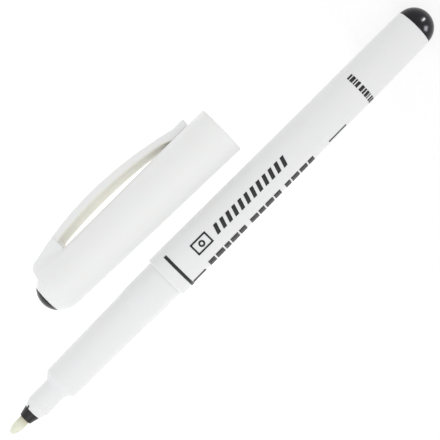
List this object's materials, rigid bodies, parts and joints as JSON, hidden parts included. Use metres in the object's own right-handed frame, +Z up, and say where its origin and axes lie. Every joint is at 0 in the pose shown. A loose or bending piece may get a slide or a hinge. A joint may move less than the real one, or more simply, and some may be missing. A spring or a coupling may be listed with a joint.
{
  "type": "banknote checking pen",
  "caption": "Slim white fibre-tip marker for checking banknotes, uncapped, with black domed ends and its clip-on cap lying beside it.",
  "frame": {"origin": "on the table, under the middle of the box round the pen and its cap", "axes": "+X along the pen from nib to tail, +Y from the pen to the cap beside it, +Z up from the table"},
  "size_m": [0.1312, 0.0308, 0.0121],
  "materials": {
    "white_plastic": "smooth moulded, glossy",
    "cap_plastic": "smooth moulded, glossy",
    "black_plastic": "smooth moulded, glossy",
    "natural_plastic": "natural, satin",
    "nib_fibre": "bonded fibre, dry",
    "filler_fibre": "lengthwise fibre",
    "clear_film": "thin film"
  },
  "bodies": {
    "pen": {"barrel": "white_plastic", "tail_plug": "black_plastic", "front_section": "white_plastic", "nib_holder": "black_plastic", "nib": "nib_fibre", "reservoir": "filler_fibre", "reservoir_wrap": "clear_film"},
    "cap": {"cap_shell": "cap_plastic", "cap_plug": "black_plastic", "inner_cap": "natural_plastic"},
    "clip": {"clip": "cap_plastic"}
  },
  "joints": [
    {"name": "cap_slide", "type": "slide", "parent": "pen", "child": "cap", "axis": [-0.9998, 0.0192, 0], "range_m": [0, 0.0489]},
    {"name": "clip_flex", "type": "hinge", "parent": "cap", "child": "clip", "pos_m": [-0.02818, 0.0128, 0.0032], "axis": [-0.0044, 0.3008, 0.9537], "range_deg": [0, 3], "stiffness_Nm_per_rad": 1.5}
  ]
}
